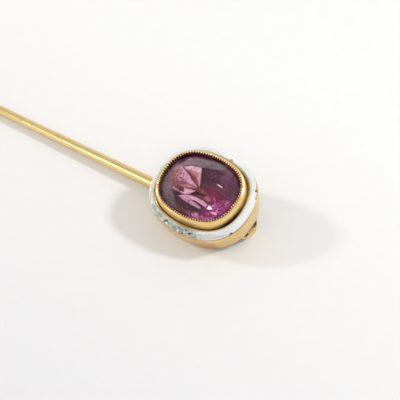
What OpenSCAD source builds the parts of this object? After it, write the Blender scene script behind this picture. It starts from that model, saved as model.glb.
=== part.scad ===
/* [Stone] */
// Length of the part of the stone that shows inside the bezel
window_l = 8.3; // [7.8:0.1:8.8]
// Width of the part of the stone that shows inside the bezel
window_w = 6.78; // [6.4:0.02:7.2]
// Radius of the outline's long side arcs
side_r = 7.5; // [6.5:0.1:8.5]
// Radius of the outline's end arcs
end_r = 5.5; // [4.8:0.1:6.2]
// Radius of the outline's corner arcs
corner_r = 2.7; // [2.5:0.05:2.9]
// How far the stone's girdle runs in under the lip, all round
girdle_cover = 0.26; // [0.2:0.02:0.3]
// Height of the crown, from girdle to table
crown_h = 1.0; // [0.7:0.05:1.2]
// Depth of the pavilion, from girdle to culet
pavilion_h = 2.9; // [2.2:0.05:3.1]
// Width of the table as a share of the stone's width
table_share = 0.62; // [0.5:0.01:0.68]
// How far the table and the facets are turned off the stone's long axis
facet_turn = -20; // [-22:1:22]

/* [Bezel] */
// Height of the head, from the back rim to the top of the lip
head_h = 4.4; // [4.2:0.05:4.8]
// Metal thickness of the bezel collar round the stone
collar_wall = 0.45; // [0.38:0.01:0.5]
// Width of the open channel between the bezel and the enamelled border
channel_w = 0.28; // [0.2:0.02:0.34]

/* [Border and cup] */
// Width of the enamelled border, from the channel to the outer wall
border_w = 0.7; // [0.6:0.02:0.8]
// Height of the top of the enamelled border above the back rim
border_top = 3.42; // [3.3:0.02:3.5]
// Height of the lower edge of the enamel above the back rim
border_foot = 2.56; // [2.4:0.02:2.6]
// Thickness of the enamel
enamel_t = 0.28; // [0.22:0.01:0.32]
// How much the cup's wall draws in from the enamel to the back rim
cup_draw = 0.3; // [0.2:0.02:0.5]
// Thickness of the cup's outer wall
cup_wall = 0.4; // [0.3:0.02:0.5]
// Thickness of the closed back plate
back_t = 0.4; // [0.3:0.02:0.6]

/* [Stem] */
// Diameter of the stem under the head
stem_root_d = 1.18; // [1.1:0.02:1.24]
// Diameter of the straight shank that a clutch slides on
shank_d = 0.9; // [0.8:0.02:1]
// Distance from the middle of the head to the start of the straight shank
taper_len = 22; // [16:1:26]
// Length of the straight shank
shank_len = 24; // [16:1:30]
// Length of the ground point
point_len = 10; // [8:1:12]
// How far the stem lies to the near side of the back's middle line
stem_side = 0.31; // [0:0.01:0.4]

/* [End lug] */
// Width of the pierced lug where it springs from the back
lug_w = 2.8; // [2.4:0.1:3]
// Thickness of the lug along the stem
lug_t = 0.36; // [0.3:0.02:0.5]
// How far the lug's foot is turned towards the far side
lug_turn = 12; // [0:1:20]

/* [Rest pose] */
// How far the head rolls towards its near side as it lies on a table
roll_deg = 22; // [18:0.5:26]

/* [Hidden] */

gap = 0.02;                 // clearance between stone or enamel and the metal
smooth = 128;               // sides of a true curve
fine = 48;                  // sides of a small true curve

gold = [0.86, 0.68, 0.36];
enamel_white = [0.88, 0.91, 0.94];
amethyst = [0.52, 0.16, 0.42];

// The outline of the stone's window is a cushion oval of eight arcs, each
// tangent to its neighbours. The corner arcs' middle lies where both its
// distance from a side arc's middle and from an end arc's middle are right.
side_mid = window_w / 2 - side_r;
end_mid = window_l / 2 - end_r;
mid_span = norm([end_mid, side_mid]);
mid_dir = [end_mid, -side_mid] / mid_span;
mid_along = (pow(side_r - corner_r, 2) - pow(end_r - corner_r, 2) + pow(mid_span, 2))
    / (2 * mid_span);
mid_off = sqrt(pow(side_r - corner_r, 2) - pow(mid_along, 2));
corner_mid = [0, side_mid] + mid_dir * mid_along + [mid_dir[1], -mid_dir[0]] * mid_off;
end_turn = atan2(corner_mid[1], corner_mid[0] - end_mid);
side_turn = atan2(corner_mid[1] - side_mid, corner_mid[0]);
corner_turn = side_turn - end_turn;

// The outline's arcs: [middle along the stem, middle across, radius, first
// angle, turn]
ARCS = [
    [end_mid, 0, end_r, -end_turn, 2 * end_turn],
    [corner_mid[0], corner_mid[1], corner_r, end_turn, corner_turn],
    [0, side_mid, side_r, side_turn, 180 - 2 * side_turn],
    [-corner_mid[0], corner_mid[1], corner_r, 180 - side_turn, corner_turn],
    [-end_mid, 0, end_r, 180 - end_turn, 2 * end_turn],
    [-corner_mid[0], -corner_mid[1], corner_r, 180 + end_turn, corner_turn],
    [0, -side_mid, side_r, 180 + side_turn, 180 - 2 * side_turn],
    [corner_mid[0], -corner_mid[1], corner_r, -side_turn, corner_turn],
];

// Distances outside the window's outline, by which every profile is drawn
collar_out = collar_wall;
border_in = collar_wall + channel_w;
border_out = border_in + border_w;
back_out = border_out - cup_draw;
cup_out = border_out + 0.03;
back_edge = 0.14;           // rounding of the back rim
enamel_shoulder = 0.06;
enamel_round = 0.3;

// Heights in the head's own frame, where the back rim is z = 0
girdle_z = 3.72;
girdle_t = 0.12;
seat_z = girdle_z - girdle_t - gap;
shelf_z = 2.62;
shelf_t = 0.4;
fence_t = 0.1;
fence_top = border_top - 0.12;

// The stem lies under the back and is sunk into it by the solder
stem_r = stem_root_d / 2;
stem_sink = 0.06;
stem_z = stem_sink - stem_r;
stem_end = window_l / 2 + back_out - 0.5;
point_r = 0.07;

// The table's upward direction in the head's frame: the head rolls about the
// stem, then the stem drops until the far end of its shank touches
rest_side = window_w / 2 + back_out - back_edge;
stem_lift = (rest_side - stem_side) * sin(roll_deg) + stem_z * cos(roll_deg);
slope_deg = asin((stem_lift - shank_d / 2) / (taper_len + shank_len));
up_u = sin(slope_deg);
up_v = -sin(roll_deg) * cos(slope_deg);
up_n = cos(roll_deg) * cos(slope_deg);
rest_arc = side_r + back_out - back_edge;
rim_drop = rest_arc * norm([up_u, up_v]) - side_mid * up_v;

// The lug springs from the back at its root and runs down past the stem's end
// until its round foot touches the table
lug_u = stem_end - 0.06;
lug_v = 0.25;
lug_root_z = 0.3;
lug_foot_r = 0.45;
lug_fall = up_n * cos(lug_turn) + up_v * sin(lug_turn);
lug_root_up = rim_drop + lug_u * up_u + lug_v * up_v + lug_root_z * up_n;
lug_len = (lug_root_up - lug_foot_r * norm([up_n, up_v])) / lug_fall;

// Middle of the lying pin's box, seen from above
near_reach = (window_w / 2 + border_out - enamel_shoulder) * cos(roll_deg)
    + (border_top - enamel_round) * sin(roll_deg);
far_reach = (window_w / 2 + back_out) * cos(roll_deg) - back_edge * sin(roll_deg);
head_reach = (window_l / 2 + cup_out) * cos(slope_deg)
    - (border_foot - 0.5) * sin(slope_deg);
tip_reach = (taper_len + shank_len + point_len) * cos(slope_deg)
    + stem_z * sin(slope_deg);
box_mid = [(head_reach - tip_reach) / 2, (far_reach - near_reach) / 2];

// Places where enamel has broken away: [angle from the stem's far end towards
// the near side, height, radius of the bite]
CHIPS = [
    [-46, 3.18, 0.22],
    [-38, 3.05, 0.28],
    [-31, 3.22, 0.18],
    [46, 3.34, 0.10],
    [78, 3.24, 0.22],
    [88, 3.12, 0.28],
    [99, 3.22, 0.26],
    [109, 3.08, 0.31],
    [120, 3.22, 0.22],
];

// Openings in the lug on each side of the stem's end, as corners across and
// above its root
LUG_WINDOWS = [
    [[-0.34, -0.9], [-0.86, -1.06], [-0.66, -1.6], [-0.12, -1.62]],
    [[0.72, -0.5], [1.16, -0.2], [1.0, -0.86], [0.52, -1.32]],
];

// Whether a direction lies before the point where two arcs of the outline meet
function before(dir, mid, radius, turn) =
    dir[1] * (mid[0] + radius * cos(turn)) < dir[0] * (mid[1] + radius * sin(turn));

// Where a ray from the middle leaves an arc's circle
function leaves(dir, mid, radius) =
    dir * mid + sqrt(pow(dir * mid, 2) - mid * mid + pow(radius, 2));

// Distance from the middle to the outline, moved out by off, at an angle
function reach(angle, off) =
    let (dir = [abs(cos(angle)), abs(sin(angle))])
    before(dir, [end_mid, 0], end_r + off, end_turn) ? leaves(dir, [end_mid, 0], end_r + off)
    : before(dir, corner_mid, corner_r + off, side_turn) ? leaves(dir, corner_mid, corner_r + off)
    : leaves(dir, [0, side_mid], side_r + off);

// Turns a profile round the outline. The profile's x is the distance outside
// the outline, and its y is the height.
module cushion() {
    for (arc = ARCS)
        translate([arc[0], arc[1], 0])
            rotate([0, 0, arc[3]])
                rotate_extrude(angle = arc[4], $fn = smooth)
                    translate([arc[2], 0])
                        children();
}

// Moves the head from its own frame, with the stem along X and the back at
// z = 0, to the way it lies on a table, with the origin under its middle
module lying() {
    translate([-box_mid[0], -box_mid[1], rim_drop])
        rotate([0, -slope_deg, 0])
            rotate([roll_deg, 0, 0])
                mirror([0, 1, 0])
                    children();
}

// Head in one profile: the collar with its lip over the girdle, the channel's
// floor, the thin fence, the gold under the enamel, and the cup's wall, drawn in
// to the back with a rounded edge. A thin plate closes the back.
module head() {
    shoulder = 0.2;
    rim_in = 0.9;
    core_out = border_out - enamel_t;
    waist = back_out + cup_draw * 0.45;
    waist_z = border_foot * 0.45;
    cushion() {
        polygon([
            [0.02, head_h - 0.22],
            [0, head_h - 0.1],
            [0.1, head_h],
            [collar_out - shoulder, head_h - 0.02],
            [collar_out - 0.07, head_h - shoulder * 0.5],
            [collar_out, head_h - shoulder * 1.5],
            [collar_out + 0.02, head_h - 0.75],
            [collar_out - 0.05, head_h - 1.05],
            [collar_out - 0.08, shelf_z],
            [border_in - fence_t, shelf_z],
            [border_in - fence_t, fence_top],
            [border_in, fence_top],
            [border_in + 0.04, border_top - enamel_t],
            [core_out - 0.12, border_top - enamel_t - 0.02],
            [core_out, border_top - enamel_t - 0.2],
            [core_out, border_foot],
            [border_out, border_foot],
            [cup_out, border_foot - 0.12],
            [cup_out, border_foot - 0.5],
            [waist, waist_z],
            [back_out, back_edge],
            [back_out - back_edge * 0.3, back_edge * 0.3],
            [back_out - back_edge, 0],
            [back_out - rim_in, 0],
            [back_out - rim_in, back_t],
            [back_out - cup_wall - 0.1, back_t],
            [back_out - cup_wall, back_t + 0.1],
            [waist - cup_wall, waist_z],
            [border_out - cup_wall, shelf_z - shelf_t],
            [girdle_cover - 0.3, shelf_z - shelf_t],
            [girdle_cover - 0.3, seat_z - 0.35],
            [girdle_cover + gap, seat_z],
            [girdle_cover + gap, girdle_z + gap],
        ]);
    }
    sides = 72;
    linear_extrude(height = back_t)
        polygon([for (i = [0 : sides - 1])
            let (angle = i * 360 / sides)
            reach(angle, back_out - rim_in / 2) * [cos(angle), sin(angle)]]);
}

// Stem: a slimmer end under the head, a taper, a straight shank and a ground
// point
module stem() {
    thick_len = 4;
    butt_r = 0.42;
    butt_len = 1.6;
    taper = taper_len - thick_len;
    translate([0, stem_side, stem_z])
        rotate([0, -90, 0]) {
            translate([0, 0, -stem_end])
                cylinder(r1 = butt_r, r2 = stem_r, h = butt_len, $fn = fine);
            translate([0, 0, butt_len - stem_end])
                cylinder(r = stem_r, h = stem_end + thick_len - butt_len, $fn = fine);
            translate([0, 0, thick_len])
                cylinder(r1 = stem_r, r2 = shank_d / 2, h = taper, $fn = fine);
            translate([0, 0, taper_len])
                cylinder(d = shank_d, h = shank_len, $fn = fine);
            translate([0, 0, taper_len + shank_len])
                cylinder(r1 = shank_d / 2, r2 = point_r, h = point_len, $fn = fine);
        }
}

// Outline of the lug, with its root at the origin: sides that run in to a
// round foot, and the openings
module lug_outline() {
    side = lug_w / 2;
    knee = lug_len * 0.6;
    difference() {
        union() {
            translate([0, -lug_len]) circle(r = lug_foot_r, $fn = fine);
            polygon([
                [-side, 0],
                [-side, -0.2],
                [0.2 - side, -knee],
                [-lug_foot_r, -lug_len],
                [lug_foot_r, -lug_len],
                [side - 0.2, -knee],
                [side, -0.2],
                [side, 0],
            ]);
        }
        for (corners = LUG_WINDOWS)
            polygon(corners);
    }
}

// Pierced lug that stands across the stem's end, under the back
module end_lug() {
    translate([lug_u, lug_v, lug_root_z])
        rotate([90, 0, 90])
            rotate([0, 0, -lug_turn])
                linear_extrude(height = lug_t)
                    lug_outline();
}

// All the soldered metal
module gold_setting() {
    color(gold) lying() {
        union() {
            head();
            stem();
            end_lug();
        }
    }
}

// Convex enamel over the border, with the losses that age has left
module enamel_border() {
    inner = border_in + gap;
    core_out = border_out - enamel_t + gap;
    low = border_foot + gap;
    under = border_top - enamel_t + gap;
    middle = border_out - border_w / 2;
    color(enamel_white) lying() {
        difference() {
            cushion() {
                polygon([
                    [inner, fence_top - 0.04],
                    [inner + 0.1, border_top - 0.04],
                    [inner + 0.24, border_top],
                    [middle + 0.04, border_top - 0.02],
                    [border_out - 0.17, border_top - 0.12],
                    [border_out - enamel_shoulder, border_top - enamel_round],
                    [border_out, border_top - 0.55],
                    [border_out, low],
                    [core_out, low],
                    [core_out, under - 0.2],
                    [core_out - 0.12, under - 0.02],
                    [inner + 0.06, under],
                    [inner + 0.02, fence_top - 0.04],
                ]);
            }
            for (chip = CHIPS) {
                translate([
                    reach(chip[0], border_out + 0.03) * cos(chip[0]),
                    reach(chip[0], border_out + 0.03) * sin(chip[0]),
                    chip[1],
                ]) sphere(r = chip[2], $fn = fine);
            }
        }
    }
}

// Point of the stone: share of the way out to the girdle, angle and height
function stone_point(share, angle, z) =
    let (out = share * reach(angle, girdle_cover))
    [out * cos(angle), out * sin(angle), z];

// Oval brilliant: table, stars, mains and girdle facets above, and mains and
// lower girdle facets below. Each ring of points is listed in turn.
module stone() {
    mains = 8;
    step = 360 / mains;
    half = step / 2;
    star_share = 0.8;
    low_share = 0.3;
    culet_share = 0.05;
    low_z = girdle_z - girdle_t;
    crown_fall = crown_h / (1 - table_share);
    pav_fall = pavilion_h / (1 - culet_share);
    rings = [
        [for (i = [0 : mains - 1])
            stone_point(table_share, facet_turn + i * step, girdle_z + crown_h)],
        [for (i = [0 : mains - 1])
            stone_point(star_share, facet_turn + i * step + half,
                girdle_z + crown_fall * (1 - star_share * cos(half)))],
        [for (i = [0 : 2 * mains - 1]) stone_point(1, facet_turn + i * half, girdle_z)],
        [for (i = [0 : 2 * mains - 1]) stone_point(1, facet_turn + i * half, low_z)],
        [for (i = [0 : mains - 1])
            stone_point(low_share, facet_turn + i * step + half,
                low_z - pav_fall * (1 - low_share * cos(half)))],
        [for (i = [0 : mains - 1])
            stone_point(culet_share, facet_turn + i * step, low_z - pavilion_h)],
    ];
    points = [for (ring = rings) each ring];
    table = 0;
    star = mains;
    top = 2 * mains;
    low = 4 * mains;
    pav = 6 * mains;
    culet = 7 * mains;
    faces = [
        [for (i = [mains - 1 : -1 : 0]) table + i],
        for (i = [0 : mains - 1]) let (next = (i + 1) % mains)
            [table + i, table + next, star + i],
        for (i = [0 : mains - 1]) let (last = (i + mains - 1) % mains)
            each [
                [table + i, star + i, top + 2 * i],
                [table + i, top + 2 * i, star + last],
            ],
        for (i = [0 : mains - 1]) let (next = (i + 1) % mains)
            each [
                [star + i, top + 2 * i + 1, top + 2 * i],
                [star + i, top + 2 * next, top + 2 * i + 1],
            ],
        for (i = [0 : 2 * mains - 1]) let (next = (i + 1) % (2 * mains))
            [top + i, top + next, low + next, low + i],
        for (i = [0 : mains - 1]) let (next = (i + 1) % mains)
            each [
                [pav + i, low + 2 * i, low + 2 * i + 1],
                [pav + i, low + 2 * i + 1, low + 2 * next],
            ],
        for (i = [0 : mains - 1]) let (last = (i + mains - 1) % mains)
            each [
                [culet + i, low + 2 * i, pav + i],
                [culet + i, pav + last, low + 2 * i],
            ],
        for (i = [0 : mains - 1]) let (next = (i + 1) % mains)
            [culet + i, pav + i, culet + next],
        [for (i = [0 : mains - 1]) culet + i],
    ];
    color(amethyst) lying() polyhedron(points = points, faces = faces);
}

gold_setting();
enamel_border();
stone();
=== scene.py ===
import math
import random

import bpy
import numpy as np
from mathutils import Matrix, Vector, noise

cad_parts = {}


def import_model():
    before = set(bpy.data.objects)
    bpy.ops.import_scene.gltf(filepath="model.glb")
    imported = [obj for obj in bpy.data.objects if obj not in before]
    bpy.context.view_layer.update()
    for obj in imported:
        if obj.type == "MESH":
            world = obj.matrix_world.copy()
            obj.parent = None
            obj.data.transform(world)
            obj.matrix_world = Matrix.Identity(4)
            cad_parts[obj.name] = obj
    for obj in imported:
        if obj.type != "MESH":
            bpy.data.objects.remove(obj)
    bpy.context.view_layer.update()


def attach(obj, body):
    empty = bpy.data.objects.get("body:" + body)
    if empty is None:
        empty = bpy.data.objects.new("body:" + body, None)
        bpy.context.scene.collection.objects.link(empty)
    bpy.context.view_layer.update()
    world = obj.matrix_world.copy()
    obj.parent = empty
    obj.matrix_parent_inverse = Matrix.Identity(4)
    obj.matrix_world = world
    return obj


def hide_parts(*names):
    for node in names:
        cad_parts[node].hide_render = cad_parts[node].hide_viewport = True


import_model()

MM = 0.001
SEED = 20
rng = random.Random(SEED)

# Sizes in millimetres, as the solids have them. The head is built in its own
# frame: u along the stem away from its point, v to the near side, w up from
# the back. Its outline is the window's cushion oval, and every profile is
# drawn by its distance outside that outline.
WIN_L, WIN_W = 8.3, 6.78                  # window of the stone
SIDE_R, END_R, CORNER_R = 7.5, 5.5, 2.7   # arcs of its outline
GIRDLE = 0.26                             # stone's girdle under the lip
GIRDLE_W = 3.72                           # height of its upper edge
HEAD_H = 4.4                              # top of the lip
COLLAR = 0.45                             # outer face of the collar
BORDER_IN, BORDER_OUT = 0.73, 1.43        # enamelled border
TOP, FOOT, SHELF = 3.42, 2.56, 2.62       # heights of enamel and channel floor
BACK = 1.13                               # back rim
UNEVEN = 0.012                            # of handmade metal

# How the head lies on the floor
ROLL = math.radians(22)
SLOPE = math.radians(0.726482)
BOX_MID = (-25.2027, -0.721871)
DROP = 1.64247

LIE = (
    Matrix.Translation((-BOX_MID[0], -BOX_MID[1], DROP))
    @ Matrix.Rotation(-SLOPE, 4, "Y")
    @ Matrix.Rotation(ROLL, 4, "X")
    @ Matrix.Diagonal((1, -1, 1, 1))
)
LIE_NP = np.array(LIE)

# The photograph's view, 40 mm wide at the head. The middle of the lip's plane
# falls on the pixel LIP_AT of its frame.
FRAME = 400
PHI, ELEV = math.radians(34.7), math.radians(45.2)
RIGHT = Vector((math.cos(PHI), math.sin(PHI), 0))
BACKWARD = Vector((-math.sin(PHI), math.cos(PHI), 0))
AHEAD = Vector((-math.sin(PHI) * math.cos(ELEV), math.cos(PHI) * math.cos(ELEV),
                -math.sin(ELEV)))
UP = RIGHT.cross(AHEAD)
LIP = LIE @ Vector((0, 0, HEAD_H)) * MM
LIP_AT = (199.5, 186.2)
VIEW = 40.0 * MM
DISTANCE = 0.3
EYE = (LIP + RIGHT * ((FRAME / 2 - LIP_AT[0]) * VIEW / FRAME)
       - UP * ((FRAME / 2 - LIP_AT[1]) * VIEW / FRAME) - AHEAD * DISTANCE)


def lie(points):
    """Head frame in millimetres to the lying pin in metres."""
    p = np.asarray(points, float).reshape(-1, 3)
    return (p @ LIE_NP[:3, :3].T + LIE_NP[:3, 3]) * MM


# ---------------------------------------------------------------- meshes
def link(name, data):
    """Puts a new object into the scene."""
    obj = bpy.data.objects.new(name, data)
    bpy.context.scene.collection.objects.link(obj)
    return obj


def make_mesh(name, verts, faces, smooth=True, flip=True):
    """An object of points in metres. With flip its faces are turned over."""
    mesh = bpy.data.meshes.new(name)
    if flip:
        faces = [tuple(reversed(f)) for f in faces]
    mesh.from_pydata([tuple(v) for v in verts], [], faces)
    mesh.polygons.foreach_set("use_smooth", [smooth] * len(mesh.polygons))
    mesh.update()
    return link(name, mesh)


def ring_faces(n_turn, n_prof):
    """Quads of a grid that closes round the turn. Points are turn-major."""
    faces = []
    for i in range(n_turn):
        a, b = i * n_prof, ((i + 1) % n_turn) * n_prof
        for j in range(n_prof - 1):
            faces.append((a + j, b + j, b + j + 1, a + j + 1))
    return faces


def rounded(rows, steps):
    """A polyline of rows (x, y, rounding) with its corners rounded."""
    out = []
    for i, (x, y, r) in enumerate(rows):
        if r <= 0:
            out.append((x, y))
            continue
        p = np.array((x, y), float)
        a, b = np.array(rows[i - 1][:2], float), np.array(rows[i + 1][:2], float)
        ua, ub = (a - p), (b - p)
        la, lb = np.linalg.norm(ua), np.linalg.norm(ub)
        d = min(r, la * 0.49, lb * 0.49)    # two corners may share a side
        s, e = p + ua / la * d, p + ub / lb * d
        for t in np.linspace(0, 1, steps):
            out.append(tuple((1 - t) ** 2 * s + 2 * t * (1 - t) * p + t * t * e))
    return out


def densify(points, step):
    """Adds points so that no segment of a profile is longer than step."""
    out = [points[0]]
    for a, b in zip(points, points[1:]):
        n = max(1, int(math.ceil(math.dist(a, b) / step)))
        for k in range(1, n + 1):
            t = k / n
            out.append((a[0] + (b[0] - a[0]) * t, a[1] + (b[1] - a[1]) * t))
    return out


def window_arcs():
    """The window's outline as rows of middle, radius, first angle and turn."""
    side_y, end_x = WIN_W / 2 - SIDE_R, WIN_L / 2 - END_R
    d_side, d_end = SIDE_R - CORNER_R, END_R - CORNER_R
    span = math.hypot(end_x, side_y)
    ex, ey = end_x / span, -side_y / span
    along = (d_side ** 2 - d_end ** 2 + span ** 2) / (2 * span)
    off = math.sqrt(d_side ** 2 - along ** 2)
    cx, cy = ex * along + ey * off, side_y + ey * along - ex * off
    side_turn, end_turn = math.atan2(cy - side_y, cx), math.atan2(cy, cx - end_x)
    corner = side_turn - end_turn
    half = math.pi
    return [
        (end_x, 0, END_R, 0.0, end_turn),
        (cx, cy, CORNER_R, end_turn, corner),
        (0, side_y, SIDE_R, side_turn, half - 2 * side_turn),
        (-cx, cy, CORNER_R, half - side_turn, corner),
        (-end_x, 0, END_R, half - end_turn, 2 * end_turn),
        (-cx, -cy, CORNER_R, half + end_turn, corner),
        (0, -side_y, SIDE_R, half + side_turn, half - 2 * side_turn),
        (cx, -cy, CORNER_R, 2 * half - side_turn, corner),
        (end_x, 0, END_R, 2 * half - end_turn, end_turn),
    ]


ARCS = window_arcs()


def outline(count, out):
    """Points evenly spaced round the outline moved out by a distance, and the
    outward directions there."""
    lengths = np.array([(r + out) * turn for _, _, r, _, turn in ARCS])
    ends = np.cumsum(lengths)
    spots, normals = np.zeros((count, 2)), np.zeros((count, 2))
    for i in range(count):
        at = i * ends[-1] / count
        k = min(int(np.searchsorted(ends, at)), len(ARCS) - 1)
        x, y, r, first, _ = ARCS[k]
        angle = first + (at - ends[k] + lengths[k]) / (r + out)
        normals[i] = math.cos(angle), math.sin(angle)
        spots[i] = (x, y) + (r + out) * normals[i]
    return spots, normals


def reach(angle, out):
    """Distance from the middle to the outline moved out, at an angle."""
    best = None
    dx, dy = math.cos(angle), math.sin(angle)
    for x, y, r, first, turn in ARCS:
        m = dx * x + dy * y
        root = m * m - x * x - y * y + (r + out) ** 2
        if root < 0:
            continue
        far = m + math.sqrt(root)
        got = math.atan2(dy * far - y, dx * far - x) % (2 * math.pi)
        off = abs(got - first - turn / 2)
        miss = min(off, 2 * math.pi - off) - turn / 2
        if best is None or miss < best[0]:
            best = (miss, far)
    return best[1]


def swept(name, profile, count, shift=0.0, change=None):
    """A profile of (distance outside the outline, height) led round it."""
    prof = np.array(profile, float)
    spots, normals = outline(count, prof[:, 0].mean())
    spots = spots - normals * prof[:, 0].mean()
    out = np.repeat(prof[None, :, 0], count, 0)
    high = np.repeat(prof[None, :, 1], count, 0)
    if change is not None:
        out, high = change(spots, out, high)
    u = spots[:, :1] + normals[:, :1] * out + shift
    v = spots[:, 1:] + normals[:, 1:] * out
    pts = np.stack([u, v, high], -1).reshape(-1, 3)
    return make_mesh(name, lie(pts), ring_faces(count, len(prof)))


def waver(amount, scale, seed):
    """Small unevenness of handmade metal, in distance and height."""
    def change(spots, out, high):
        for i, (x, y) in enumerate(spots):
            out[i] += amount * noise.noise(Vector((x * scale, y * scale, seed)))
            high[i] += amount * noise.noise(Vector((x * scale, y * scale, seed + 7)))
        return out, high
    return change


def all_round(profile, count):
    """Distances and heights of a swept profile's points, turn by turn."""
    prof = np.array(profile)
    return np.tile(prof[:, 0], count), np.tile(prof[:, 1], count)


def point_attribute(obj, name, values):
    """Stores a number with each point of a mesh."""
    layer = obj.data.attributes.new(name, "FLOAT", "POINT")
    layer.data.foreach_set("value", np.asarray(values, np.float32))


def picture(points):
    """Where points in metres fall in the photograph's frame, in pixels."""
    p = np.asarray(points, float).reshape(-1, 3) - np.array(EYE)
    deep = p @ np.array(AHEAD)
    scale = FRAME * DISTANCE / VIEW
    return np.stack([FRAME / 2 + scale * (p @ np.array(RIGHT)) / deep,
                     FRAME / 2 - scale * (p @ np.array(UP)) / deep], 1)


def obj_points(obj):
    """The points of a mesh, as rows of x, y and z."""
    co = np.zeros(len(obj.data.vertices) * 3)
    obj.data.vertices.foreach_get("co", co)
    return co.reshape(-1, 3)


def ragged(points, scale, seed, octaves):
    """Fractal noise at points in metres, about -0.5 to 0.5."""
    return np.array([
        noise.fractal(Vector((x * scale + seed, y * scale, z * scale)), 1.0, 2.0, octaves)
        for x, y, z in points
    ])


def spots_at(xy, rows, rag=0.0):
    """Cover of soft spots, rows of (x, y, radius x, radius y, turn, strength)."""
    total = np.zeros(len(xy))
    for x, y, rx, ry, turn, strength in rows:
        c, s = math.cos(math.radians(turn)), math.sin(math.radians(turn))
        dx, dy = xy[:, 0] - x, xy[:, 1] - y
        d = np.hypot((dx * c + dy * s) / rx, (dy * c - dx * s) / ry) + rag
        total = np.maximum(total, np.clip(1.5 - d, 0, 1) * strength)
    return total


# ---------------------------------------------------------------- shaders
def new_material(name):
    """An empty material, its nodes and its shader."""
    mat = bpy.data.materials.new(name)
    mat.use_nodes = True
    tree = mat.node_tree
    tree.nodes.clear()
    out = tree.nodes.new("ShaderNodeOutputMaterial")
    shader = tree.nodes.new("ShaderNodeBsdfPrincipled")
    tree.links.new(shader.outputs[0], out.inputs[0])
    return mat, tree, shader


def node(tree, kind, links=None, **values):
    """A node with its links made, and its sockets or settings filled in."""
    n = tree.nodes.new(kind)
    for key, value in values.items():
        if key in n.inputs:
            n.inputs[key].default_value = value
        else:
            setattr(n, key, value)
    for key, source in (links or {}).items():
        tree.links.new(source, n.inputs[key])
    return n


def attribute(tree, name, output="Fac"):
    """What a mesh stores under a name."""
    return node(tree, "ShaderNodeAttribute", attribute_name=name).outputs[output]


def ramp(tree, source, stops):
    """Colours along a value, from stops of position and colour."""
    n = tree.nodes.new("ShaderNodeValToRGB")
    els = n.color_ramp.elements
    while len(els) < len(stops):
        els.new(0.5)
    for el, (pos, col) in zip(els, stops):
        el.position = pos
        el.color = (*col, 1)
    tree.links.new(source, n.inputs[0])
    return n.outputs[0]


def noise_tex(tree, scale, detail, rough):
    """Noise that is fixed to the object, 0 to 1."""
    coords = node(tree, "ShaderNodeTexCoord").outputs["Object"]
    return node(tree, "ShaderNodeTexNoise", {"Vector": coords},
                Scale=scale, Detail=detail, Roughness=rough).outputs[0]


def mix_color(tree, factor, a, b, blend="MIX"):
    """Mixes two colours. Each input is a socket or a constant."""
    n = node(tree, "ShaderNodeMix", data_type="RGBA", blend_type=blend)
    for socket, value in ((n.inputs[0], factor), (n.inputs[6], a), (n.inputs[7], b)):
        if isinstance(value, bpy.types.NodeSocket):
            tree.links.new(value, socket)
        else:
            socket.default_value = value if isinstance(value, float) else (*value, 1)
    return n.outputs[2]


def mathn(tree, op, a, b, clamp=False):
    """Arithmetic with two sockets or constants."""
    n = node(tree, "ShaderNodeMath", operation=op, use_clamp=clamp)
    for socket, value in zip(n.inputs, (a, b)):
        if isinstance(value, bpy.types.NodeSocket):
            tree.links.new(value, socket)
        else:
            socket.default_value = value
    return n.outputs[0]


def bump(tree, shader, height, strength, distance):
    """Roughens the shading by a height. The distance is in metres."""
    n = node(tree, "ShaderNodeBump", {"Height": height}, Strength=strength, Distance=distance)
    tree.links.new(n.outputs[0], shader.inputs["Normal"])


GOLD = (0.92, 0.66, 0.275)
GOLD_PALE = (0.92, 0.71, 0.32)
# Pink gold, made pale to paint the highlights that the grains catch
GOLD_PINK_SHEEN = (0.97, 0.76, 0.60)
# Umber for dirty metal and for painted shade
UMBER = (0.09, 0.04, 0.015)


def gold_material(name, base, rough):
    """Worn gold, with umber where it is dirty and where shade is painted on, and pale pink gold,
    partly a painted highlight, where that is marked.
    """
    mat, tree, shader = new_material(name)
    wear = noise_tex(tree, 900, 5, 0.6)
    fine = noise_tex(tree, 5200, 3, 0.5)
    tone = ramp(tree, wear, [(0.3, tuple(c * 0.9 for c in base)), (0.7, base)])
    warm = mix_color(tree, attribute(tree, "pale_pink_sheen"), tone, GOLD_PINK_SHEEN)
    spread = mathn(tree, "ADD", mathn(tree, "MULTIPLY", wear, 0.9), 0.55)
    # the umber cover is dirty metal and painted shade together
    dirt_shade_cover = mathn(tree, "MULTIPLY", spread, attribute(tree, "dirt_and_shade"), clamp=True)
    tree.links.new(mix_color(tree, dirt_shade_cover, warm, UMBER), shader.inputs["Base Color"])
    shader.inputs["Metallic"].default_value = 1.0
    worn = ramp(tree, wear, [(0.25, (rough * 0.75,) * 3), (0.75, (rough * 1.5,) * 3)])
    dull = mathn(tree, "ADD", worn, mathn(tree, "MULTIPLY", dirt_shade_cover, 0.4))
    tree.links.new(dull, shader.inputs["Roughness"])
    height = mathn(tree, "ADD", wear, mathn(tree, "MULTIPLY", fine, 0.25))
    bump(tree, shader, height, 0.25, 0.00003)
    return mat


gold = gold_material("gold_polished", GOLD, 0.16)
gold_stem = gold_material("gold_stem", GOLD_PALE, 0.13)


def gild(obj, material, dirt_and_shade, pale_pink_sheen=0.0):
    """Gives a piece its gold, how dirty and how deep in painted shade it is at each point, and how
    pale pink, which is partly a painted highlight.
    """
    count = len(obj.data.vertices)
    point_attribute(obj, "dirt_and_shade", np.full(count, dirt_and_shade))
    point_attribute(obj, "pale_pink_sheen", np.full(count, pale_pink_sheen))
    obj.data.materials.clear()
    obj.data.materials.append(material)


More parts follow.
